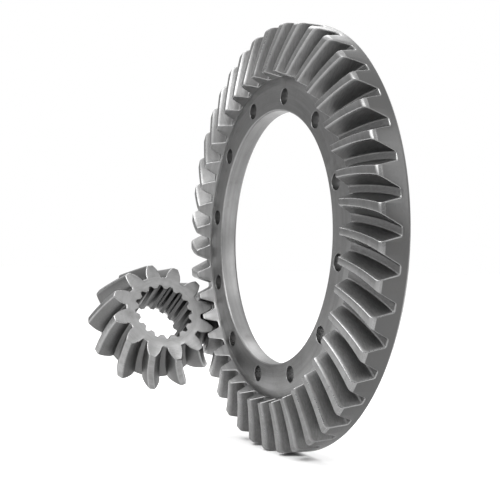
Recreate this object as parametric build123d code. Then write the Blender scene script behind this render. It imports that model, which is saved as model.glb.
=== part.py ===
from build123d import *
from collections import namedtuple
from math import acos, asin, atan, atan2, cos, degrees, hypot, pi, radians, sin, sqrt, tan
import os

# A spiral bevel gear pair: a bolted ring gear, a pinion with a splined bore, and the thrust washer
# that backs the pinion. Shafts cross at 90 degrees.
#
# Row frame: the origin is the centre of the ring gear's bolting face and +Z is up. The ring gear
# turns about X with its teeth towards -X. The pinion's axis runs from the cone apex towards +Y,
# and drops below the horizontal.
#
# Gear frame, used to make both gears: the cone apex is the origin, +Z is the gear's own axis,
# pointing from the apex into the gear, and azimuth 0 is the line of contact with the mating gear.

# --- gear data ---
RING_TEETH = 41
PINION_TEETH = 12
MODULE = 8.0                    # transverse, at the heel
PRESSURE_ANGLE = radians(22.5)  # normal
SPIRAL_ANGLE = radians(15)      # at mid face
CUTTER_RADIUS = 150.0           # curvature of a tooth along its length
FACE_WIDTH = 39.0
BACKLASH = 0.36                 # at the heel, half of it taken from each gear's teeth
TOE_THINNING = 1.0              # taken from a ring tooth's thickness at the toe, given to the pinion's
PINION_DROP = radians(29.5)     # pinion axis below the horizontal
RING_TURN = radians(-0.7)       # azimuth of a ring tooth's centre at mid face

# --- ring gear ---
RING_MOUNTING = 60.0            # apex to bolting face
FLANGE_THICKNESS = 14.5
RIM_BEHIND_FLANGE = 8.5
RIM_CHAMFER = 3.0               # on the rim's outer back edge
RING_BORE = 196.0
RECESS_DIAMETER = 254.0
BOLT_CIRCLE = 218.0
BOLT_COUNT = 12
BOLT_HOLE = 12.5
BOLT_TURN = radians(9.2)
RELIEF_RADIUS = 117.5           # where the flange face starts to dip towards the teeth
RELIEF_DEPTH = 1.5
CROWN_ROUND = 4.0               # radius of the corner from the face cone to the outside diameter
EDGE = 1.5                      # edge break on the rim's recess
BORE_BACK_CHAMFER = 2.0
BORE_FRONT_CHAMFER = 1.0

# --- pinion ---
PINION_MOUNTING = 168.0         # apex to back face
PINION_TOE = 128.5              # apex to toe face
PINION_OVERHANG = 2.0           # how far its teeth run past the pitch circle at the heel
PINION_TIP_ROUND = 1.5          # radius of the corner at the heel end of the teeth
SPLINE_TEETH = 16
SPLINE_MINOR = 44.4
SPLINE_MAJOR = 50.4
SPLINE_GROOVE = 5.6             # groove width at its mouth
SPLINE_ANGLE = radians(30)
SPLINE_TURN = radians(1.3)
SPLINE_EDGE = 0.5               # edge break at both ends of the spline

# --- thrust washer ---
WASHER_BORE = 52.0
WASHER_DIAMETER = 78.0
WASHER_THICKNESS = 3.0
WASHER_GAP = 0.1
TAB_WIDTH = 12.0
TAB_LENGTH = 5.0

# --- derived ---
RING_CONE = atan2(RING_TEETH, PINION_TEETH)
PINION_CONE = pi / 2 - RING_CONE
RING_PITCH_RADIUS = MODULE * RING_TEETH / 2
PINION_PITCH_RADIUS = MODULE * PINION_TEETH / 2
HEEL = hypot(RING_PITCH_RADIUS, PINION_PITCH_RADIUS)   # cone distance at the heel
TOE = HEEL - FACE_WIDTH
MID_FACE = HEEL - FACE_WIDTH / 2
TRANSVERSE_ANGLE = atan(tan(PRESSURE_ANGLE) / cos(SPIRAL_ANGLE))
CUTTER_OFFSET = sqrt(MID_FACE**2 + CUTTER_RADIUS**2 - 2 * MID_FACE * CUTTER_RADIUS * sin(SPIRAL_ANGLE))

WORKING_DEPTH = 1.70 * MODULE
WHOLE_DEPTH = 1.888 * MODULE
RING_ADDENDUM = (0.46 + 0.39 * (PINION_TEETH / RING_TEETH) ** 2) * MODULE
PINION_ADDENDUM = WORKING_DEPTH - RING_ADDENDUM
RING_DEDENDUM = WHOLE_DEPTH - RING_ADDENDUM
PINION_DEDENDUM = WHOLE_DEPTH - PINION_ADDENDUM
RING_ROOT_CONE = RING_CONE - atan(RING_DEDENDUM / HEEL)
PINION_ROOT_CONE = PINION_CONE - atan(PINION_DEDENDUM / HEEL)
RING_FACE_CONE = pi / 2 - PINION_ROOT_CONE
PINION_FACE_CONE = pi / 2 - RING_ROOT_CONE

RING_TOOTH = pi * MODULE / 2 - (PINION_ADDENDUM - RING_ADDENDUM) * tan(TRANSVERSE_ANGLE)
PINION_TOOTH = pi * MODULE - RING_TOOTH
PINION_TURN = pi / PINION_TEETH - RING_TURN * RING_TEETH / PINION_TEETH

# --- tooth spaces ---
SECTIONS = 7                    # sections along a tooth space
FLANK_POINTS = 7
OVERCUT = 3.5                   # how far a cutter stands past the metal
FILLET = 1.2                    # root corner, from the sharp corner to the end of its round
FLANK_START = 0.95              # height of that end on the flank, as a share of FILLET
SETTLING_STEPS = 20             # repeats that settle a point onto its section plane

Gear = namedtuple("Gear", "teeth pitch_cone root_cone face_cone tooth hand widening turn space_ends")
RING = Gear(
    RING_TEETH, RING_CONE, RING_ROOT_CONE, RING_FACE_CONE, RING_TOOTH, hand=1, widening=1,
    turn=RING_TURN, space_ends=(126.0, 180.0),
)
PINION = Gear(
    PINION_TEETH, PINION_CONE, PINION_ROOT_CONE, PINION_FACE_CONE, PINION_TOOTH, hand=-1, widening=-1,
    turn=PINION_TURN, space_ends=(122.0, 181.0),
)


def on_cone(distance, cone, azimuth):
    """Return the point at a distance from the apex, on a cone about the gear's axis."""
    flat = distance * sin(cone)
    return Vector(flat * cos(azimuth), flat * sin(azimuth), distance * cos(cone))


def heel_point(cone, height):
    """Return (radius, z) of a point of the back cone, at a height above the pitch cone."""
    radius = HEEL * sin(cone) + height * cos(cone)
    return radius, HEEL * cos(cone) - height * sin(cone)


def involute(base, cone):
    """Return the azimuth that a spherical involute turns through from its base cone."""
    if cone <= base:
        return 0.0
    return acos(cos(cone) / cos(base)) / sin(base) - acos(tan(base) / tan(cone))


def half_space(gear, cone):
    """Return half the azimuth of a tooth space on a cone about the gear's axis."""
    base = asin(sin(gear.pitch_cone) * cos(TRANSVERSE_ANGLE))
    half_tooth = (gear.tooth - BACKLASH / 2) / (MODULE * gear.teeth)
    half_tooth += involute(base, gear.pitch_cone) - involute(base, cone)
    return pi / gear.teeth - half_tooth


def lengthwise_turn(distance):
    """Return how far a tooth has turned about the crown gear's axis, from mid face outwards."""
    def polar(radius):
        return acos((radius**2 + CUTTER_OFFSET**2 - CUTTER_RADIUS**2) / (2 * radius * CUTTER_OFFSET))
    return polar(MID_FACE) - polar(distance)


def toe_turn(distance):
    """Return the crown gear's azimuth that the toe thinning takes from each flank of a ring tooth."""
    return TOE_THINNING / 2 * (HEEL - distance) / (FACE_WIDTH * distance)


def flank_point(gear, along, cone, side):
    """Return the point of a space's flank on the section plane a distance along the pitch line."""
    normal = on_cone(1, gear.pitch_cone, 0)
    distance = along
    for _ in range(SETTLING_STEPS):
        turn = gear.hand * lengthwise_turn(distance) + side * gear.widening * toe_turn(distance)
        azimuth = side * half_space(gear, cone) + turn / sin(gear.pitch_cone)
        distance = along / on_cone(1, cone, azimuth).dot(normal)
    return on_cone(distance, cone, azimuth)


def corner_round(corner, start, end):
    """Return the middle of the arc that rounds a corner between two points equally far from it."""
    middle = (start + end) / 2
    half_angle = (start - corner).get_angle(end - corner) / 2
    reach = (start - corner).length
    to_arc = reach / cos(radians(half_angle)) - reach * tan(radians(half_angle))
    return corner + (middle - corner).normalized() * to_arc


def space_section(gear, along):
    """Return the outline of a tooth space on the section plane a distance along the pitch line."""
    top_cone = gear.face_cone + OVERCUT / HEEL
    low_cone = gear.root_cone + FLANK_START * FILLET / along
    step = (top_cone - low_cone) / (FLANK_POINTS - 1)
    cones = [low_cone + step * i for i in range(FLANK_POINTS)]
    left, right = [[flank_point(gear, along, cone, side) for cone in cones] for side in (-1, 1)]
    corners = [flank_point(gear, along, gear.root_cone, side) for side in (-1, 1)]
    across = (corners[1] - corners[0]).normalized()
    floor_ends = []
    rounds = []
    for corner, start, inward in ((corners[0], left[0], across), (corners[1], right[0], -across)):
        end = corner + inward * (start - corner).length
        floor_ends.append(end)
        rounds.append(ThreePointArc(start, corner_round(corner, start, end), end))
    top = Line(right[-1], left[-1])
    return Wire([Spline(*reversed(left)), rounds[0], Line(*floor_ends), rounds[1], Spline(*right), top])


def tooth_spaces(gear):
    """Return one cutter for each tooth space of a gear."""
    start, finish = gear.space_ends
    step = (finish - start) / (SECTIONS - 1)
    space = Solid.make_loft([space_section(gear, start + step * i) for i in range(SECTIONS)])
    pitch = 360 / gear.teeth
    first = degrees(gear.turn) + pitch / 2
    return [space.rotate(Axis.Z, first + pitch * i) for i in range(gear.teeth)]


def turned(outline, corner, radius):
    """Revolve a closed outline of (radius, z) points about Z, with one of its corners rounded."""
    face = make_face(Polyline(*[(r, 0, z) for r, z in outline], close=True)).face()
    sharp = face.vertices().sort_by_distance((corner[0], 0, corner[1]))[0]
    return revolve(face.fillet_2d(radius, [sharp]), Axis.Z)


def ring_blank():
    """Make the ring gear's turned blank, in the gear frame."""
    front = RING_MOUNTING - FLANGE_THICKNESS
    back = RING_MOUNTING
    rim_back = back + RIM_BEHIND_FLANGE
    bore = RING_BORE / 2
    recess = RECESS_DIAMETER / 2
    crown = heel_point(RING_CONE, RING_ADDENDUM)
    outside, crown_z = crown

    # toe wall, square to the pitch cone, from the bottom of the relief up to the face cone
    toe_z = front + RELIEF_DEPTH
    toe_radius = (TOE - toe_z * cos(RING_CONE)) / sin(RING_CONE)
    rise = 1 / tan(RING_FACE_CONE)
    height = (toe_z - crown_z + (outside - toe_radius) * rise) / (sin(RING_CONE) + cos(RING_CONE) * rise)
    toe_tip = (toe_radius + height * cos(RING_CONE), toe_z - height * sin(RING_CONE))
    outline = [
        (bore, front + BORE_FRONT_CHAMFER),
        (bore + BORE_FRONT_CHAMFER, front),
        (RELIEF_RADIUS, front),
        (toe_radius, toe_z),
        toe_tip,
        crown,
        (outside, rim_back - RIM_CHAMFER),
        (outside - RIM_CHAMFER, rim_back),
        (recess + EDGE, rim_back),
        (recess, rim_back - EDGE),
        (recess, back),
        (bore + BORE_BACK_CHAMFER, back),
        (bore, back - BORE_BACK_CHAMFER),
    ]
    return turned(outline, crown, CROWN_ROUND)


def bolt_holes():
    """Make one cutter for each bolt hole of the ring gear, in the gear frame."""
    middle = RING_MOUNTING - FLANGE_THICKNESS / 2
    length = FLANGE_THICKNESS + 2 * OVERCUT
    holes = []
    for i in range(BOLT_COUNT):
        azimuth = BOLT_TURN + 2 * pi * i / BOLT_COUNT
        centre = (BOLT_CIRCLE / 2 * cos(azimuth), BOLT_CIRCLE / 2 * sin(azimuth), middle)
        holes.append(Pos(*centre) * Cylinder(BOLT_HOLE / 2, length))
    return holes


def ring_gear():
    """Make the ring gear, in the gear frame."""
    return ring_blank() - bolt_holes() - tooth_spaces(RING)


def pinion_blank():
    """Make the pinion's turned and bored blank, in the gear frame."""
    minor = SPLINE_MINOR / 2
    heel_radius, heel_z = heel_point(PINION_CONE, PINION_ADDENDUM)
    tip_radius = heel_radius + PINION_OVERHANG * sin(PINION_FACE_CONE)
    tip_z = heel_z + PINION_OVERHANG * cos(PINION_FACE_CONE)
    toe_radius = tip_radius - (tip_z - PINION_TOE) * tan(PINION_FACE_CONE)
    back_radius = tip_radius - (PINION_MOUNTING - tip_z) / tan(PINION_CONE)
    outline = [
        (minor, PINION_TOE + SPLINE_EDGE),
        (minor + SPLINE_EDGE, PINION_TOE),
        (toe_radius, PINION_TOE),
        (tip_radius, tip_z),
        (back_radius, PINION_MOUNTING),
        (minor + SPLINE_EDGE, PINION_MOUNTING),
        (minor, PINION_MOUNTING - SPLINE_EDGE),
    ]
    return turned(outline, (tip_radius, tip_z), PINION_TIP_ROUND)


def spline_grooves():
    """Make one cutter for each groove of the pinion's splined bore, in the gear frame."""
    overlap = 1.0               # how far a cutter reaches inside the minor diameter
    mouth_radius = SPLINE_MINOR / 2 - overlap
    floor_radius = SPLINE_MAJOR / 2
    mouth = SPLINE_GROOVE / 2 + overlap * tan(SPLINE_ANGLE)
    floor = mouth - (floor_radius - mouth_radius) * tan(SPLINE_ANGLE)
    corners = [(mouth_radius, -mouth), (floor_radius, -floor), (floor_radius, floor), (mouth_radius, mouth)]
    length = PINION_MOUNTING - PINION_TOE + 2 * OVERCUT
    groove = extrude(make_face(Polyline(*corners, close=True)), length)
    groove = Pos(0, 0, PINION_TOE - OVERCUT) * groove
    pitch = 360 / SPLINE_TEETH
    return [groove.rotate(Axis.Z, degrees(SPLINE_TURN) + pitch * i) for i in range(SPLINE_TEETH)]


def pinion():
    """Make the pinion, in the gear frame."""
    return pinion_blank() - spline_grooves() - tooth_spaces(PINION)


def thrust_washer():
    """Make the washer behind the pinion, in the pinion's gear frame, its tab away from the ring."""
    base = PINION_MOUNTING + WASHER_GAP + WASHER_THICKNESS / 2
    disc = Cylinder(WASHER_DIAMETER / 2, WASHER_THICKNESS)
    tab_reach = WASHER_DIAMETER / 2 + TAB_LENGTH
    tab = Pos(-tab_reach / 2, 0, 0) * Box(tab_reach, TAB_WIDTH, WASHER_THICKNESS)
    washer = disc + tab - Cylinder(WASHER_BORE / 2, WASHER_THICKNESS)
    return Pos(0, 0, base) * washer


def placed():
    """Return each node's solid in the row frame."""
    apex = (-RING_MOUNTING, 0, 0)
    pinion_axis = (0, cos(PINION_DROP), -sin(PINION_DROP))
    ring_plane = Plane(origin=apex, x_dir=pinion_axis, z_dir=(1, 0, 0))
    pinion_plane = Plane(origin=apex, x_dir=(1, 0, 0), z_dir=pinion_axis)
    return {
        "ring_gear": ring_plane.location * ring_gear(),
        "pinion": pinion_plane.location * pinion(),
        "thrust_washer": pinion_plane.location * thrust_washer(),
    }


os.makedirs("parts", exist_ok=True)
for name, solid in placed().items():
    export_step(solid, f"parts/{name}.step")
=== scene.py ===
from math import atan, atan2, cos, hypot, pi, radians, sin, sqrt, tan

import bmesh
import bpy
import numpy as np
from mathutils import Matrix, Vector


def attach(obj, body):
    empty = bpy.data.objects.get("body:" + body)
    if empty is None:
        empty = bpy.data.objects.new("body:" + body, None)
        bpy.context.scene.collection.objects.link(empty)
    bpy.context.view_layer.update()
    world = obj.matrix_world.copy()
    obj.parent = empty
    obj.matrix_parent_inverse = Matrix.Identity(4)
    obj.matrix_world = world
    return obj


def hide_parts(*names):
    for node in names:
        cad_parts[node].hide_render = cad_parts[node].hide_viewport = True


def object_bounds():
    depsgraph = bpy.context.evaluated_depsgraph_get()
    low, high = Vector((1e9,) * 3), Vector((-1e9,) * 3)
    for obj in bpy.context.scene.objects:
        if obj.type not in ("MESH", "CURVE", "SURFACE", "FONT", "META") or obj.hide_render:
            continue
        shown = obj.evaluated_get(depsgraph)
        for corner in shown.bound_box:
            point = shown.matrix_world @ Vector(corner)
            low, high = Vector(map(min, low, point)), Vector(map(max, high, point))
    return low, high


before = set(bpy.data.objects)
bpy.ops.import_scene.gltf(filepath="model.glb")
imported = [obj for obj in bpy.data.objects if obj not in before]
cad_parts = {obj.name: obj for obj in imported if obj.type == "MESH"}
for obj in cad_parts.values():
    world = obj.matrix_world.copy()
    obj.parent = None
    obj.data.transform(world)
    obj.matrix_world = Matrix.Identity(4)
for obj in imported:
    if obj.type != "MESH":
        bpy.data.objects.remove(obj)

# A spiral bevel gear pair in dark machined steel. The two gears are built here as fine meshes with
# rounded tooth edges, root fillets and turned faces, in the gear frame: the cone apex is the origin
# and Z is the gear's own axis, pointing into the gear. Lengths are in millimetres until make_mesh().

cad_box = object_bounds()
MM = 0.001

# --- gear data, as in the CAD model ---
RING_TEETH = 41
PINION_TEETH = 12
MODULE = 8.0
PRESSURE_ANGLE = radians(22.5)
SPIRAL_ANGLE = radians(15)
CUTTER_RADIUS = 150.0
FACE_WIDTH = 39.0
BACKLASH = 0.36
TOE_THINNING = 1.0
PINION_DROP = radians(29.5)
RING_TURN = radians(-0.7)

RING_MOUNTING = 60.0
FLANGE_THICKNESS = 14.5
RIM_BEHIND_FLANGE = 8.5
RIM_CHAMFER = 3.0
RING_BORE = 196.0
RECESS_DIAMETER = 254.0
BOLT_CIRCLE = 218.0
BOLT_COUNT = 12
BOLT_HOLE = 12.5
BOLT_TURN = radians(9.2)
RELIEF_RADIUS = 117.5
RELIEF_DEPTH = 1.5
CROWN_ROUND = 4.0
EDGE = 1.5
BORE_BACK_CHAMFER = 2.0
BORE_FRONT_CHAMFER = 1.0
HOLE_CHAMFER = 0.2

PINION_MOUNTING = 168.0
PINION_TOE = 128.5
PINION_OVERHANG = 2.0
PINION_TIP_ROUND = 1.5
SPLINE_TEETH = 16
SPLINE_MINOR = 44.4
SPLINE_MAJOR = 50.4
SPLINE_GROOVE = 5.6
SPLINE_ANGLE = radians(30)
SPLINE_TURN = radians(1.3)
SPLINE_EDGE = 0.5

WASHER_BORE = 52.0
WASHER_DIAMETER = 78.0
WASHER_THICKNESS = 3.0
WASHER_GAP = 0.1
TAB_WIDTH = 12.0
TAB_LENGTH = 5.0
WASHER_EDGE = 0.3

# --- derived gear geometry ---
RING_CONE = atan2(RING_TEETH, PINION_TEETH)
PINION_CONE = pi / 2 - RING_CONE
HEEL = MODULE / 2 * hypot(RING_TEETH, PINION_TEETH)
TOE = HEEL - FACE_WIDTH
MID_FACE = HEEL - FACE_WIDTH / 2
TRANSVERSE_ANGLE = atan(tan(PRESSURE_ANGLE) / cos(SPIRAL_ANGLE))
CUTTER_OFFSET = sqrt(MID_FACE**2 + CUTTER_RADIUS**2 - 2 * MID_FACE * CUTTER_RADIUS * sin(SPIRAL_ANGLE))
WORKING_DEPTH = 1.70 * MODULE
WHOLE_DEPTH = 1.888 * MODULE
RING_ADDENDUM = (0.46 + 0.39 * (PINION_TEETH / RING_TEETH) ** 2) * MODULE
PINION_ADDENDUM = WORKING_DEPTH - RING_ADDENDUM
RING_ROOT_CONE = RING_CONE - atan((WHOLE_DEPTH - RING_ADDENDUM) / HEEL)
PINION_ROOT_CONE = PINION_CONE - atan((WHOLE_DEPTH - PINION_ADDENDUM) / HEEL)
RING_FACE_CONE = pi / 2 - PINION_ROOT_CONE
PINION_FACE_CONE = pi / 2 - RING_ROOT_CONE
RING_TOOTH = pi * MODULE / 2 - (PINION_ADDENDUM - RING_ADDENDUM) * tan(TRANSVERSE_ANGLE)
PINION_TOOTH = pi * MODULE - RING_TOOTH
PINION_TURN = pi / PINION_TEETH - RING_TURN * RING_TEETH / PINION_TEETH
RING_OUTSIDE = HEEL * sin(RING_CONE) + RING_ADDENDUM * cos(RING_CONE)

# --- mesh detail ---
FLOOR_STEPS, FILLET_STEPS, ROUND_STEPS, LAND_STEPS = 1, 4, 3, 1
END_STEPS = 4                   # rows that round the two ends of the teeth
LENGTH_STEPS = 12               # rows along the teeth
ROOT_FILLET = 1.15              # from the sharp root corner to the end of its round
SETTLING_STEPS = 30             # repeats that settle the tooth ends onto their surfaces
SOFT_EDGE = 0.35                # radius of the turned edges
END_ROUNDING = 0.9              # radius of the tooth ends' rounding, over the tip edges' radius
SLOPE_STEP = 0.05               # half the height over which a flank's slope is taken
SPLINE_LAND_POINTS = (1, 0.8)   # where the spline's lands have points, over half a land
SPLINE_LAND_END = 0.72
SPLINE_SOFT_EDGE = 0.4
FACE_MARGIN = 2.0               # width of the flat rows that frame the pinion's turned faces
HOLE_SEGMENTS = 40
WASHER_SEGMENTS = 160
TAB_SEGMENTS = 9
SHARP_ANGLE = radians(38)       # edges sharper than this aren't shaded smooth


class Gear:
    """One gear's tooth geometry."""

    def __init__(self, teeth, pitch_cone, root_cone, face_cone, tooth, hand, turn, crown, toe, heel,
                 edge_radius, flank_steps, crown_steps):
        self.teeth = teeth
        self.pitch_cone = pitch_cone
        self.root_cone = root_cone
        self.face_cone = face_cone
        self.tooth = tooth
        self.hand = hand                  # 1 for the ring gear, -1 for the pinion
        self.turn = turn
        self.crown = crown                # the rounded corner at the heel end of the tip, a CornerArc
        self.toe = toe                    # cone distance of the toe surface, for a cone
        self.heel = heel                  # cone distance of the heel surface, for a cone
        self.edge_radius = edge_radius
        self.crown_steps = crown_steps
        steps = (FLOOR_STEPS, FILLET_STEPS, flank_steps, ROUND_STEPS, LAND_STEPS)
        self.marks = np.cumsum((0,) + steps)
        self.points = self.marks[-1] + 1


class CornerArc:
    """The arc that rounds a corner between two straight edges that leave it, in (radius, z)."""

    def __init__(self, corner, edge_in, edge_out, radius):
        corner, edge_in, edge_out = (np.array(v, float) for v in (corner, edge_in, edge_out))
        half_angle = np.arccos(edge_in @ edge_out) / 2
        middle = (edge_in + edge_out) / np.linalg.norm(edge_in + edge_out)
        self.corner = corner
        self.radius = radius
        self.centre = corner + middle * radius / sin(half_angle)
        self.start = corner + edge_in * radius / tan(half_angle)
        self.end = corner + edge_out * radius / tan(half_angle)


def heel_point(cone, height):
    radius = HEEL * sin(cone) + height * cos(cone)
    return radius, HEEL * cos(cone) - height * sin(cone)


def involute(base, cone):
    """Return the azimuth that a spherical involute turns through from its base cone."""
    cone = np.maximum(cone, base)
    return np.arccos(np.cos(cone) / cos(base)) / sin(base) - np.arccos(tan(base) / np.tan(cone))


def half_tooth(gear, cone):
    """Return half the azimuth of a tooth on a cone about the gear's axis."""
    sine = sin(gear.pitch_cone) * cos(TRANSVERSE_ANGLE)
    base = atan2(sine, sqrt(1 - sine * sine))
    at_pitch = (gear.tooth - BACKLASH / 2) / (MODULE * gear.teeth)
    return at_pitch + involute(base, gear.pitch_cone) - involute(base, cone)


def toe_turn(distance):
    """Return the crown gear's azimuth that the toe thinning takes from each flank of a ring tooth."""
    return TOE_THINNING / 2 * (HEEL - distance) / (FACE_WIDTH * distance)


def lengthwise_turn(distance):
    """Return how far a tooth has turned about the crown gear's axis, from mid face outwards."""
    def polar(radius):
        return np.arccos((radius**2 + CUTTER_OFFSET**2 - CUTTER_RADIUS**2) / (2 * radius * CUTTER_OFFSET))
    return polar(MID_FACE) - polar(distance)


def tip_height(gear, distance):
    """Return the height of the top land above the pitch cone, at a cone distance."""
    crown = gear.crown
    offset = crown.corner[0] * cos(gear.face_cone) - crown.corner[1] * sin(gear.face_cone)
    face = gear.face_cone + np.arcsin(offset / distance)
    on_arc = np.clip(distance, np.hypot(*crown.start), np.hypot(*crown.end))
    reach = np.hypot(*crown.centre)
    spread = np.arccos((on_arc**2 + reach**2 - crown.radius**2) / (2 * on_arc * reach))
    arc = atan2(*crown.centre) + spread
    cone = np.where(distance < np.hypot(*crown.start), face, arc)
    return distance * (cone - gear.pitch_cone)


def flank_at(gear, distance, height):
    """Return a flank's distance from the tooth's middle at a height, and its upward direction."""
    def across(y):
        cone = gear.pitch_cone + y / distance
        thinning = gear.hand * toe_turn(distance) / sin(gear.pitch_cone)
        return distance * np.sin(cone) * (half_tooth(gear, cone) - thinning)
    run = across(height + SLOPE_STEP) - across(height - SLOPE_STEP)
    length = np.hypot(run, 2 * SLOPE_STEP)
    return across(height), run / length, 2 * SLOPE_STEP / length


def half_profile(gear, distance, inset):
    """Return (across, height) of half a tooth and half a space, from the space's middle to the tooth's.

    distance has one value for each point. inset shrinks the tooth evenly, to round its ends.
    """
    floor_end, fillet_end, flank_end, round_end, land_end = gear.marks[1:]
    low = distance * (gear.root_cone - gear.pitch_cone)
    high = tip_height(gear, distance)
    root_x, root_run, root_rise = flank_at(gear, distance, low)
    tip_x, tip_run, tip_rise = flank_at(gear, distance, high)
    root_turn = np.arctan2(root_rise, -root_run)
    tip_turn = np.arctan2(tip_rise, -tip_run)
    fillet = ROOT_FILLET / np.tan(root_turn / 2)
    tip_reach = gear.edge_radius * np.tan(tip_turn / 2)

    step = np.arange(gear.points)
    x = np.zeros(gear.points)
    y = np.zeros(gear.points)

    part = slice(0, floor_end + 1)
    t = step[part] / FLOOR_STEPS
    half_pitch = distance[part] * np.sin(gear.root_cone) * pi / gear.teeth
    x[part] = half_pitch + t * (root_x[part] + ROOT_FILLET - half_pitch)
    y[part] = low[part] - inset

    part = slice(floor_end, fillet_end + 1)
    angle = root_turn[part] * (step[part] - floor_end) / FILLET_STEPS
    x[part] = root_x[part] + ROOT_FILLET - (fillet[part] + inset) * np.sin(angle)
    y[part] = low[part] + fillet[part] - (fillet[part] + inset) * np.cos(angle)

    part = slice(fillet_end + 1, flank_end)
    t = (step[part] - fillet_end) / (flank_end - fillet_end)
    bottom = low[part] + ROOT_FILLET * root_rise[part]
    top = high[part] - tip_reach[part] * tip_rise[part]
    height = bottom + t * (top - bottom)
    flank_x, run, rise = flank_at(gear, distance[part], height)
    x[part] = flank_x - inset * rise
    y[part] = height + inset * run

    part = slice(flank_end, round_end + 1)
    angle = tip_turn[part] * (1 - (step[part] - flank_end) / ROUND_STEPS)
    radius = gear.edge_radius - inset
    x[part] = tip_x[part] - tip_reach[part] + radius * np.sin(angle)
    y[part] = high[part] - gear.edge_radius + radius * np.cos(angle)

    part = slice(round_end, land_end + 1)
    t = (step[part] - round_end) / LAND_STEPS
    x[part] = (tip_x[part] - tip_reach[part]) * (1 - t)
    y[part] = high[part] - inset
    return x, y


def tooth_row(gear, distance, inset=0.0):
    """Return one closed row of points round the gear, from one cone distance for each profile point."""
    x, y = half_profile(gear, distance, inset)
    cone = gear.pitch_cone + y / distance
    offset = x / (distance * np.sin(cone))
    offset[0] = pi / gear.teeth
    shift = gear.hand * lengthwise_turn(distance) / sin(gear.pitch_cone)
    back = slice(-2, 0, -1)
    azimuth = np.concatenate([shift - offset, shift[back] + offset[back]])
    cone = np.concatenate([cone, cone[back]])
    distance = np.concatenate([distance, distance[back]])
    middles = gear.turn + 2 * pi * np.arange(gear.teeth) / gear.teeth
    azimuth = (middles[:, None] + azimuth[None]).ravel()
    cone = np.tile(cone, gear.teeth)
    distance = np.tile(distance, gear.teeth)
    return np.stack([distance * np.sin(cone), azimuth, distance * np.cos(cone)], 1)


def end_distance(gear, surface, offset, inset):
    """Return the cone distances at which a shrunken tooth meets an end surface moved by an offset."""
    distance = np.full(gear.points, HEEL)
    for _ in range(SETTLING_STEPS):
        _, y = half_profile(gear, distance, inset)
        distance = surface(gear.pitch_cone + y / distance) + offset
    return distance


def tooth_rows(gear):
    """Return the rows of the toothed surface from toe to heel, as (radius, azimuth, z) points."""
    radius = gear.edge_radius * END_ROUNDING
    rows = []
    quarter = [pi / 2 * i / END_STEPS for i in range(END_STEPS + 1)]
    for angle in quarter:
        inset = radius * (1 - sin(angle))
        distance = end_distance(gear, gear.toe, radius * (1 - cos(angle)), inset)
        rows.append(tooth_row(gear, distance, inset))
    start = end_distance(gear, gear.toe, radius, 0)
    finish = end_distance(gear, gear.heel, -radius, 0)
    crown = np.full(gear.points, np.hypot(*gear.crown.start))
    for i in range(1, LENGTH_STEPS + 1):
        rows.append(tooth_row(gear, start + (crown - start) * i / LENGTH_STEPS))
    for i in range(1, gear.crown_steps):
        rows.append(tooth_row(gear, crown + (finish - crown) * i / gear.crown_steps))
    for angle in reversed(quarter):
        inset = radius * (1 - sin(angle))
        distance = end_distance(gear, gear.heel, -radius * (1 - cos(angle)), inset)
        rows.append(tooth_row(gear, distance, inset))
    return rows


def soften(outline, radius=SOFT_EDGE, steps=3):
    """Return an outline of (radius, z) points with each inner corner rounded."""
    points = [np.array(p, float) for p in outline]
    soft = [points[0]]
    for before, corner, after in zip(points, points[1:], points[2:]):
        into = corner - before
        out = after - corner
        reach = min(radius, np.linalg.norm(into) / 2.5, np.linalg.norm(out) / 2.5)
        start = corner - into / np.linalg.norm(into) * reach
        end = corner + out / np.linalg.norm(out) * reach
        for i in range(steps + 1):
            t = i / steps
            soft.append((1 - t) ** 2 * start + 2 * t * (1 - t) * corner + t**2 * end)
    soft.append(points[-1])
    return soft


def turned_rows(outline, first, last):
    """Return rows for a turned surface whose azimuths run from one row's to another's."""
    rows = []
    for i, (radius, z) in enumerate(outline):
        t = i / (len(outline) - 1)
        azimuth = first[:, 1] + t * (last[:, 1] - first[:, 1])
        rows.append(np.stack([np.full(len(azimuth), radius), azimuth, np.full(len(azimuth), z)], 1))
    return rows


def make_mesh(name, rows, marks):
    """Make a closed mesh from rows of (radius, azimuth, z) points, and one attribute for each mark."""
    grid = np.stack(rows)
    count_rows, count = grid.shape[:2]
    radius, azimuth, z = grid[..., 0], grid[..., 1], grid[..., 2]
    points = np.stack([radius * np.cos(azimuth), radius * np.sin(azimuth), z], -1).reshape(-1, 3) * MM
    row = np.arange(count_rows)[:, None]
    column = np.arange(count)[None]
    next_row = (row + 1) % count_rows
    next_column = (column + 1) % count
    corners = [row * count + column, row * count + next_column,
               next_row * count + next_column, next_row * count + column]
    faces = np.stack(np.broadcast_arrays(*corners), -1).reshape(-1, 4)
    mesh = bpy.data.meshes.new(name)
    mesh.from_pydata(points.tolist(), [], faces.tolist())
    for mark, values in marks.items():
        mesh.attributes.new(mark, "FLOAT", "POINT").data.foreach_set("value", np.stack(values).ravel())
    finish_mesh(mesh)
    piece = bpy.data.objects.new(name, mesh)
    bpy.context.scene.collection.objects.link(piece)
    return piece


def finish_mesh(mesh):
    """Point the faces outwards and shade them smooth between sharp edges."""
    cleaner = bmesh.new()
    cleaner.from_mesh(mesh)
    bmesh.ops.recalc_face_normals(cleaner, faces=cleaner.faces)
    cleaner.to_mesh(mesh)
    cleaner.free()
    shade(mesh)
    mesh.update()


def shade(mesh):
    """Shade a mesh smooth between its sharp edges."""
    mesh.shade_smooth()
    mesh.set_sharp_from_angle(angle=SHARP_ANGLE)


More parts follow.
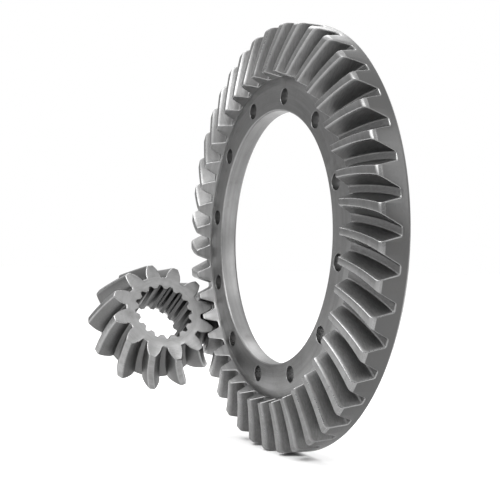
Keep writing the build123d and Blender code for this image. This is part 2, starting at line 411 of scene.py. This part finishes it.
def tooth_marks(gear, rows, turned_count, painted_shade_rows=()):
    """Return the attributes of each row: where tooth flanks, rounded edges and the bore that gets painted
    shade are.
    """
    flank_end, round_end = gear.marks[3:5]
    flank = np.zeros(gear.points)
    flank[:flank_end] = 1
    edge = np.zeros(gear.points)
    edge[flank_end:round_end] = 1
    back = slice(-2, 0, -1)
    flank = np.tile(np.concatenate([flank, flank[back]]), gear.teeth)
    edge = np.tile(np.concatenate([edge, edge[back]]), gear.teeth)
    flanks, edges = [], []
    for i in range(len(rows)):
        from_end = min(i, len(rows) - 1 - i)
        rounded = 0 < from_end < END_STEPS
        flanks.append(flank * (from_end > END_STEPS - 1))
        edges.append(np.maximum(edge * (from_end > 0), float(rounded)))
    for _ in range(turned_count):
        flanks.append(np.zeros_like(flank))
        edges.append(np.zeros_like(edge))
    bore = [np.full_like(flank, i - len(rows) in painted_shade_rows, float) for i in range(len(flanks))]
    return {"flank": flanks, "edge": edges, "bore": bore}


def ring_gear_piece():
    """Build the ring gear's detailed mesh."""
    outside, crown_z = heel_point(RING_CONE, RING_ADDENDUM)
    along_face = (-sin(RING_FACE_CONE), -cos(RING_FACE_CONE))
    gear = Gear(
        RING_TEETH, RING_CONE, RING_ROOT_CONE, RING_FACE_CONE, RING_TOOTH, 1, RING_TURN,
        crown=CornerArc((outside, crown_z), along_face, (0, 1), CROWN_ROUND),
        toe=lambda cone: TOE / np.cos(cone - RING_CONE),
        heel=lambda cone: outside / np.sin(cone),
        edge_radius=0.8, flank_steps=6, crown_steps=8,
    )
    rows = tooth_rows(gear)
    front = RING_MOUNTING - FLANGE_THICKNESS
    back = RING_MOUNTING
    rim_back = back + RIM_BEHIND_FLANGE
    bore = RING_BORE / 2
    recess = RECESS_DIAMETER / 2
    toe_z = front + RELIEF_DEPTH
    toe_radius = (TOE - toe_z * cos(RING_CONE)) / sin(RING_CONE)
    outline = soften([
        (outside, rim_back - 2 * RIM_CHAMFER),
        (outside, rim_back - RIM_CHAMFER),
        (outside - RIM_CHAMFER, rim_back),
        (recess + EDGE, rim_back),
        (recess, rim_back - EDGE),
        (recess, back),
        (bore + BORE_BACK_CHAMFER, back),
        (bore, back - BORE_BACK_CHAMFER),
        (bore, front + BORE_FRONT_CHAMFER),
        (bore + BORE_FRONT_CHAMFER, front),
        (RELIEF_RADIUS, front),
        (toe_radius, toe_z),
    ])
    turned = turned_rows(outline, rows[-1], rows[0])
    return make_mesh("ring_gear_detail", rows + turned, tooth_marks(gear, rows, len(turned)))


def turned_pin(outline, place, segments=HOLE_SEGMENTS):
    """Return the points and faces of a closed turned solid that stands at a place."""
    angles = 2 * pi * np.arange(segments) / segments
    points, faces = [], []
    for radius, z in outline:
        for angle in angles:
            points.append((place[0] + radius * cos(angle), place[1] + radius * sin(angle), z))
    for row in range(len(outline) - 1):
        low = row * segments
        high = low + segments
        for i in range(segments):
            j = (i + 1) % segments
            faces.append((low + i, low + j, high + j, high + i))
    faces.append(tuple(reversed(range(segments))))
    faces.append(tuple((len(outline) - 1) * segments + i for i in range(segments)))
    return points, faces


def drill_bolt_holes(piece):
    """Cut the ring gear's bolt holes, each with a small chamfer at both ends."""
    front = RING_MOUNTING - FLANGE_THICKNESS
    hole = BOLT_HOLE / 2
    outline = [
        (hole + 2 * HOLE_CHAMFER, front - HOLE_CHAMFER),
        (hole, front + HOLE_CHAMFER),
        (hole, RING_MOUNTING - HOLE_CHAMFER),
        (hole + 2 * HOLE_CHAMFER, RING_MOUNTING + HOLE_CHAMFER),
    ]
    points, faces = [], []
    for i in range(BOLT_COUNT):
        azimuth = BOLT_TURN + 2 * pi * i / BOLT_COUNT
        place = (BOLT_CIRCLE / 2 * cos(azimuth), BOLT_CIRCLE / 2 * sin(azimuth))
        pin_points, pin_faces = turned_pin(outline, place)
        faces += [tuple(index + len(points) for index in face) for face in pin_faces]
        points += pin_points
    mesh = bpy.data.meshes.new("drills")
    mesh.from_pydata([Vector(p) * MM for p in points], [], faces)
    finish_mesh(mesh)
    drills = bpy.data.objects.new("drills", mesh)
    bpy.context.scene.collection.objects.link(drills)
    cut = piece.modifiers.new("bolt_holes", "BOOLEAN")
    cut.operation = "DIFFERENCE"
    cut.solver = "EXACT"
    cut.object = drills
    drilled = bpy.data.meshes.new_from_object(piece.evaluated_get(bpy.context.evaluated_depsgraph_get()))
    piece.modifiers.clear()
    piece.data = drilled
    shade(drilled)
    bpy.data.objects.remove(drills)


def spline_radii(count):
    """Return (azimuth, radius) of the splined bore's outline, with count points in each groove pitch."""
    half = count // 2
    minor, major = SPLINE_MINOR / 2, SPLINE_MAJOR / 2
    mouth = SPLINE_GROOVE / 2
    floor = mouth - (major - minor) * tan(SPLINE_ANGLE)
    edge = sqrt(minor**2 - mouth**2)
    land = pi / SPLINE_TEETH
    land_points = [(minor * sin(land * t), minor * cos(land * t)) for t in SPLINE_LAND_POINTS]
    land_end = (minor * sin(land * SPLINE_LAND_END), minor * cos(land * SPLINE_LAND_END))
    wall = soften([land_end, (mouth, edge), (floor, major), (0, major)],
                  radius=SPLINE_SOFT_EDGE, steps=(half - 5) // 2)
    points = np.array(land_points + wall)
    azimuth = np.arctan2(points[:, 0], points[:, 1])
    radius = np.hypot(points[:, 0], points[:, 1])
    azimuth = np.concatenate([-azimuth[:-1], azimuth[:0:-1]])
    radius = np.concatenate([radius[:-1], radius[:0:-1]])
    grooves = SPLINE_TURN + 2 * pi * np.arange(SPLINE_TEETH) / SPLINE_TEETH
    return (grooves[:, None] + azimuth[None]).ravel(), np.tile(radius, SPLINE_TEETH)


def spline_rows(columns, near):
    """Return the rows of the splined bore, back face to toe face, with azimuths that start near a value."""
    azimuth, radius = spline_radii(columns // SPLINE_TEETH)
    groove = 2 * pi / SPLINE_TEETH
    azimuth = azimuth + round((near - azimuth[0]) / groove) * groove
    mouth = SPLINE_MAJOR / 2 + SPLINE_EDGE
    flare = np.minimum(radius + SPLINE_EDGE, mouth)
    ends = [
        (np.full(columns, mouth), PINION_MOUNTING),
        (flare, PINION_MOUNTING),
        (radius, PINION_MOUNTING - SPLINE_EDGE),
        (radius, PINION_TOE + SPLINE_EDGE),
        (flare, PINION_TOE),
        (np.full(columns, mouth), PINION_TOE),
    ]
    return [np.stack([r, azimuth, np.full(columns, z)], 1) for r, z in ends]


def pinion_piece():
    """Build the pinion's detailed mesh."""
    heel_radius, heel_z = heel_point(PINION_CONE, PINION_ADDENDUM)
    tip_radius = heel_radius + PINION_OVERHANG * sin(PINION_FACE_CONE)
    tip_z = heel_z + PINION_OVERHANG * cos(PINION_FACE_CONE)
    along_face = (-sin(PINION_FACE_CONE), -cos(PINION_FACE_CONE))
    along_back = (-cos(PINION_CONE), sin(PINION_CONE))
    back_cone = tip_radius * sin(PINION_CONE) + tip_z * cos(PINION_CONE)
    gear = Gear(
        PINION_TEETH, PINION_CONE, PINION_ROOT_CONE, PINION_FACE_CONE, PINION_TOOTH, -1, PINION_TURN,
        crown=CornerArc((tip_radius, tip_z), along_face, along_back, PINION_TIP_ROUND),
        toe=lambda cone: PINION_TOE / np.cos(cone),
        heel=lambda cone: back_cone / np.cos(cone - PINION_CONE),
        edge_radius=0.9, flank_steps=11, crown_steps=4,
    )
    rows = tooth_rows(gear)
    columns = len(rows[0])
    back_radius = tip_radius - (PINION_MOUNTING - tip_z) / tan(PINION_CONE)
    before_back = (
        back_radius + FACE_MARGIN * cos(PINION_CONE),
        PINION_MOUNTING - FACE_MARGIN * sin(PINION_CONE),
    )
    mouth = SPLINE_MAJOR / 2 + FACE_MARGIN / 2
    splines = spline_rows(columns, rows[-1][0, 1])
    back_face = soften([before_back, (back_radius, PINION_MOUNTING), (mouth, PINION_MOUNTING)])
    backs = turned_rows(back_face, rows[-1], splines[0])
    fronts = turned_rows([(mouth, PINION_TOE), (mouth + FACE_MARGIN, PINION_TOE)], splines[-1], rows[0])
    turned = backs + splines + fronts
    # the splined bore's inner rows, which are painted darker as painted shade
    dark = range(len(backs) + 2, len(backs) + len(splines) - 2)
    return make_mesh("pinion_detail", rows + turned, tooth_marks(gear, rows, len(turned), dark))


def washer_piece():
    """Build the thrust washer's detailed mesh, with its one tab and broken edges."""
    half_tab = TAB_WIDTH / 2
    outer = WASHER_DIAMETER / 2
    reach = outer + TAB_LENGTH
    edge = WASHER_EDGE
    tab_root = np.arcsin(half_tab / outer)
    across_tab = np.linspace(-half_tab, half_tab, TAB_SEGMENTS)
    round_rim = np.linspace(tab_root, 2 * pi - tab_root, WASHER_SEGMENTS)
    azimuth = np.concatenate([np.arctan2(across_tab, reach), round_rim])
    radius = np.concatenate([np.hypot(across_tab, reach), np.full(WASHER_SEGMENTS, outer)])
    azimuth = azimuth + pi
    low = PINION_MOUNTING + WASHER_GAP
    high = low + WASHER_THICKNESS
    bore = WASHER_BORE / 2
    outline = [
        (bore + edge, low), (bore, low + edge), (bore, high - edge), (bore + edge, high),
        (radius - edge, high), (radius, high - edge), (radius, low + edge), (radius - edge, low),
    ]
    columns = np.ones(len(azimuth))
    rows = [np.stack([r * columns, azimuth, z * columns], 1) for r, z in outline]
    return make_mesh("thrust_washer_detail", rows, {})


def gear_frame(axis, contact):
    """Return the matrix that takes the gear frame to the row frame."""
    z = Vector(axis)
    x = Vector(contact)
    turn = Matrix((x, z.cross(x), z)).transposed().to_4x4()
    return Matrix.Translation(Vector((-RING_MOUNTING * MM, 0, 0))) @ turn


# --- materials ---
class Nodes:
    """A short way to write shader nodes."""

    def __init__(self, name):
        self.material = bpy.data.materials.new(name)
        self.material.use_nodes = True
        self.tree = self.material.node_tree
        self.shader = self.tree.nodes["Principled BSDF"]

    def add(self, kind, **settings):
        node = self.tree.nodes.new(kind)
        for key, value in settings.items():
            setattr(node, key, value)
        return node

    def link(self, source, target):
        self.tree.links.new(source, target)

    def feed(self, socket, value):
        """Set a socket to a number or a colour, or link another node's output to it."""
        if isinstance(value, (int, float, tuple)):
            socket.default_value = value
        else:
            self.link(value, socket)

    def math(self, operation, *values, clamp=False):
        node = self.add("ShaderNodeMath", operation=operation, use_clamp=clamp)
        for socket, value in zip(node.inputs, values):
            self.feed(socket, value)
        return node.outputs[0]

    def vector(self, x, y, z):
        node = self.add("ShaderNodeCombineXYZ")
        for socket, value in zip(node.inputs, (x, y, z)):
            self.feed(socket, value)
        return node.outputs[0]

    def noise(self, vector, scale, detail=2.0, roughness=0.5):
        node = self.add("ShaderNodeTexNoise")
        node.inputs["Scale"].default_value = scale
        node.inputs["Detail"].default_value = detail
        node.inputs["Roughness"].default_value = roughness
        self.link(vector, node.inputs["Vector"])
        return node.outputs["Fac"]

    def spread(self, value, low, high, to_low=0.0, to_high=1.0):
        node = self.add("ShaderNodeMapRange")
        node.inputs["From Min"].default_value = low
        node.inputs["From Max"].default_value = high
        node.inputs["To Min"].default_value = to_low
        node.inputs["To Max"].default_value = to_high
        self.link(value, node.inputs["Value"])
        return node.outputs[0]

    def mix(self, factor, a, b):
        node = self.add("ShaderNodeMix", data_type="RGBA")
        self.feed(node.inputs[0], factor)
        self.feed(node.inputs[6], a)
        self.feed(node.inputs[7], b)
        return node.outputs[2]

    def gear_place(self, frame_matrix):
        """Return the shaded point in the gear frame."""
        back = frame_matrix.inverted()
        mapping = self.add("ShaderNodeMapping")
        mapping.inputs["Location"].default_value = back.to_translation()
        mapping.inputs["Rotation"].default_value = back.to_euler()
        self.link(self.add("ShaderNodeTexCoord").outputs["Object"], mapping.inputs["Vector"])
        return mapping.outputs[0]

    def attribute(self, name):
        node = self.add("ShaderNodeAttribute", attribute_name=name)
        return node.outputs["Fac"]


def grey(value, warm=0.0):
    return (value * (1 + warm), value, value * (1 - warm), 1)


def gear_steel(name, frame_matrix, turned_tone, flank_tone, edge_tone, rim_painted_shade_tone=None):
    """Dark machined steel: turning marks on the turned faces, cutter marks on the flanks, worn edges.

    The rim tone paints the ring gear's outer cylinder darker than its turned faces: a painted shade that
    stands in for the dimmer light on the rim.
    """
    nodes = Nodes(name)
    place = nodes.gear_place(frame_matrix)
    split = nodes.add("ShaderNodeSeparateXYZ")
    nodes.link(place, split.inputs[0])
    x, y, z = split.outputs
    radius = nodes.math("SQRT", nodes.math("ADD", nodes.math("MULTIPLY", x, x), nodes.math("MULTIPLY", y, y)))
    azimuth = nodes.math("ARCTAN2", y, x)
    flank = nodes.attribute("flank")
    edge = nodes.attribute("edge")

    # turning marks: fine rings round the axis, broken up a little along the azimuth
    rings = nodes.noise(nodes.vector(radius, z, nodes.math("MULTIPLY", azimuth, 0.004)), 1500, 3, 0.6)
    wide_rings = nodes.noise(nodes.vector(radius, z, nodes.math("MULTIPLY", azimuth, 0.002)), 260, 2)
    # cutter marks: fine lines along the teeth
    along_azimuth = nodes.math("MULTIPLY", azimuth, 0.12)
    along_radius = nodes.math("MULTIPLY", radius, 0.06)
    lines = nodes.noise(nodes.vector(along_azimuth, z, along_radius), 1300, 3, 0.6)
    cloud = nodes.noise(place, 22, 4, 0.6)
    stain = nodes.noise(place, 75, 5, 0.65)
    speck = nodes.noise(place, 900, 2, 0.5)

    bands = nodes.spread(wide_rings, 0.35, 0.65)
    turned = nodes.mix(bands, grey(turned_tone * 0.86), grey(turned_tone * 1.12))
    turned = nodes.mix(nodes.spread(rings, 0.3, 0.75, 0, 0.6), turned, grey(turned_tone * 1.3))
    # painted shade: the ring gear's outer cylinder is painted darker than the other turned faces
    if rim_painted_shade_tone is not None:
        rim_painted_shade_mask = nodes.spread(radius, (RING_OUTSIDE - 0.6) * MM, (RING_OUTSIDE - 0.1) * MM)
        turned = nodes.mix(rim_painted_shade_mask, turned, grey(rim_painted_shade_tone))
    cut = nodes.mix(nodes.spread(lines, 0.3, 0.7), grey(flank_tone * 0.82), grey(flank_tone * 1.2))
    colour = nodes.mix(flank, turned, cut)
    colour = nodes.mix(nodes.spread(cloud, 0.35, 0.75, 0, 0.4), colour, grey(flank_tone * 0.7, 0.02))
    colour = nodes.mix(nodes.spread(stain, 0.55, 0.8, 0, 0.45), colour, grey(flank_tone * 0.55, 0.04))
    # painted shade: the pinion's splined bore is painted darker, standing in for the shade inside it
    colour = nodes.mix(nodes.attribute("bore"), colour, grey(flank_tone * 0.4))
    worn = nodes.math("MULTIPLY", edge, nodes.spread(stain, 0.3, 0.6, 1.0, 0.55), clamp=True)
    colour = nodes.mix(worn, colour, grey(edge_tone))
    nodes.link(colour, nodes.shader.inputs["Base Color"])

    patchy = nodes.spread(cloud, 0.3, 0.7, 0.30, 0.42)
    rough = nodes.math("ADD", patchy, nodes.spread(speck, 0.3, 0.7, -0.04, 0.06))
    rough = nodes.math("ADD", rough, nodes.math("MULTIPLY", flank, 0.07))
    rough = nodes.math("SUBTRACT", rough, nodes.math("MULTIPLY", worn, 0.12), clamp=True)
    nodes.link(rough, nodes.shader.inputs["Roughness"])
    nodes.shader.inputs["Metallic"].default_value = 1.0

    height = nodes.math("ADD",
                        nodes.math("MULTIPLY", rings, nodes.math("SUBTRACT", 1.0, flank)),
                        nodes.math("MULTIPLY", lines, flank))
    bump = nodes.add("ShaderNodeBump")
    bump.inputs["Strength"].default_value = 0.16
    bump.inputs["Distance"].default_value = 0.0003
    nodes.link(height, bump.inputs["Height"])
    nodes.link(bump.outputs[0], nodes.shader.inputs["Normal"])
    return nodes.material


def paper(name, tone):
    nodes = Nodes(name)
    nodes.shader.inputs["Base Color"].default_value = grey(tone)
    nodes.shader.inputs["Roughness"].default_value = 0.9
    nodes.shader.inputs["Specular IOR Level"].default_value = 0.1
    return nodes.material


# --- stage ---
CAMERA_TARGET = Vector((-0.0145, 0.0381, -0.0098))
CAMERA_DISTANCE = 0.8775
CAMERA_AZIMUTH = radians(-24.6)
CAMERA_ELEVATION = radians(-0.53)
CAMERA_ROLL = radians(1.21)
CAMERA_LENS = 78.1
CAMERA_SENSOR = 36
FLOOR_REACH = 12.0
FLOOR_GAP = 0.0003              # between the floor and the lowest point of the model
SKY_HORIZON = 0.33
SKY_OVERHEAD = 1.7


def direction(azimuth, elevation):
    """Return the direction from the object towards an azimuth and elevation; azimuth 0 is -Y."""
    flat = cos(elevation)
    return Vector((sin(azimuth) * flat, -cos(azimuth) * flat, sin(elevation)))


def add_camera():
    camera = bpy.data.objects.new("camera", bpy.data.cameras.new("camera"))
    bpy.context.scene.collection.objects.link(camera)
    back = direction(CAMERA_AZIMUTH, CAMERA_ELEVATION)
    turn = (-back).to_track_quat("-Z", "Y").to_matrix().to_4x4() @ Matrix.Rotation(CAMERA_ROLL, 4, "Z")
    camera.matrix_world = Matrix.Translation(CAMERA_TARGET + back * CAMERA_DISTANCE) @ turn
    camera.data.lens = CAMERA_LENS
    camera.data.sensor_width = CAMERA_SENSOR
    camera.data.clip_start = 0.01
    bpy.context.scene.camera = camera


def add_light(name, azimuth, elevation, distance, size, power):
    lamp = bpy.data.lights.new(name, "AREA")
    lamp.shape = "RECTANGLE"
    lamp.size, lamp.size_y = size
    lamp.energy = power
    light = bpy.data.objects.new(name, lamp)
    bpy.context.scene.collection.objects.link(light)
    out = direction(radians(azimuth), radians(elevation))
    turn = out.to_track_quat("Z", "Y").to_matrix().to_4x4()
    light.matrix_world = Matrix.Translation(out * distance) @ turn


def add_world():
    """Light the scene from a pale sky that is brightest overhead, and show it to the camera as white."""
    world = bpy.data.worlds.new("studio")
    world.use_nodes = True
    tree = world.node_tree
    tree.nodes.clear()
    output = tree.nodes.new("ShaderNodeOutputWorld")
    seen = tree.nodes.new("ShaderNodeBackground")
    seen.inputs["Color"].default_value = (1, 1, 1, 1)
    lit = tree.nodes.new("ShaderNodeBackground")
    lit.inputs["Color"].default_value = (1, 1, 1, 1)
    place = tree.nodes.new("ShaderNodeTexCoord")
    split = tree.nodes.new("ShaderNodeSeparateXYZ")
    strength = tree.nodes.new("ShaderNodeMapRange")
    strength.inputs["From Min"].default_value = 0.0
    strength.inputs["From Max"].default_value = 1.0
    strength.inputs["To Min"].default_value = SKY_HORIZON
    strength.inputs["To Max"].default_value = SKY_OVERHEAD
    path = tree.nodes.new("ShaderNodeLightPath")
    mix = tree.nodes.new("ShaderNodeMixShader")
    tree.links.new(place.outputs["Generated"], split.inputs[0])
    tree.links.new(split.outputs["Z"], strength.inputs["Value"])
    tree.links.new(strength.outputs[0], lit.inputs["Strength"])
    tree.links.new(path.outputs["Is Camera Ray"], mix.inputs[0])
    tree.links.new(lit.outputs[0], mix.inputs[1])
    tree.links.new(seen.outputs[0], mix.inputs[2])
    tree.links.new(mix.outputs[0], output.inputs[0])
    bpy.context.scene.world = world


def add_floor():
    mesh = bpy.data.meshes.new("floor")
    level = cad_box[0].z - FLOOR_GAP
    sides = ((-1, -1), (1, -1), (1, 1), (-1, 1))
    mesh.from_pydata([(FLOOR_REACH * x, FLOOR_REACH * y, level) for x, y in sides], [], [(0, 1, 2, 3)])
    floor = bpy.data.objects.new("floor", mesh)
    bpy.context.scene.collection.objects.link(floor)
    mesh.materials.append(paper("floor_paper", 0.85))


add_camera()
add_world()
add_floor()
add_light("key", -60, 45, 1.6, (1.2, 1.2), 26)
add_light("fill", 40, 25, 1.8, (1.0, 1.4), 12)
add_light("back", 170, 50, 1.8, (1.4, 0.8), 14)

pinion_axis = (0, cos(PINION_DROP), -sin(PINION_DROP))
ring_axis = (1, 0, 0)
ring_frame = gear_frame(ring_axis, pinion_axis)
pinion_frame = gear_frame(pinion_axis, ring_axis)

ring = ring_gear_piece()
drill_bolt_holes(ring)
ring.data.transform(ring_frame)
ring.data.materials.append(gear_steel("ring_steel_machined", ring_frame, 0.19, 0.14, 0.24, rim_painted_shade_tone=0.075))
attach(ring, "ring")
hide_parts("ring_gear")

pinion = pinion_piece()
pinion.data.transform(pinion_frame)
pinion.data.materials.append(gear_steel("pinion_steel_machined", pinion_frame, 0.26, 0.13, 0.27))
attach(pinion, "pinion")
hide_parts("pinion")

washer = washer_piece()
washer.data.transform(pinion_frame)
washer.data.materials.append(gear_steel("washer_steel_ground", pinion_frame, 0.28, 0.16, 0.4))
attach(washer, "housing_side")
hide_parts("thrust_washer")

bpy.context.scene.view_settings.view_transform = "Standard"
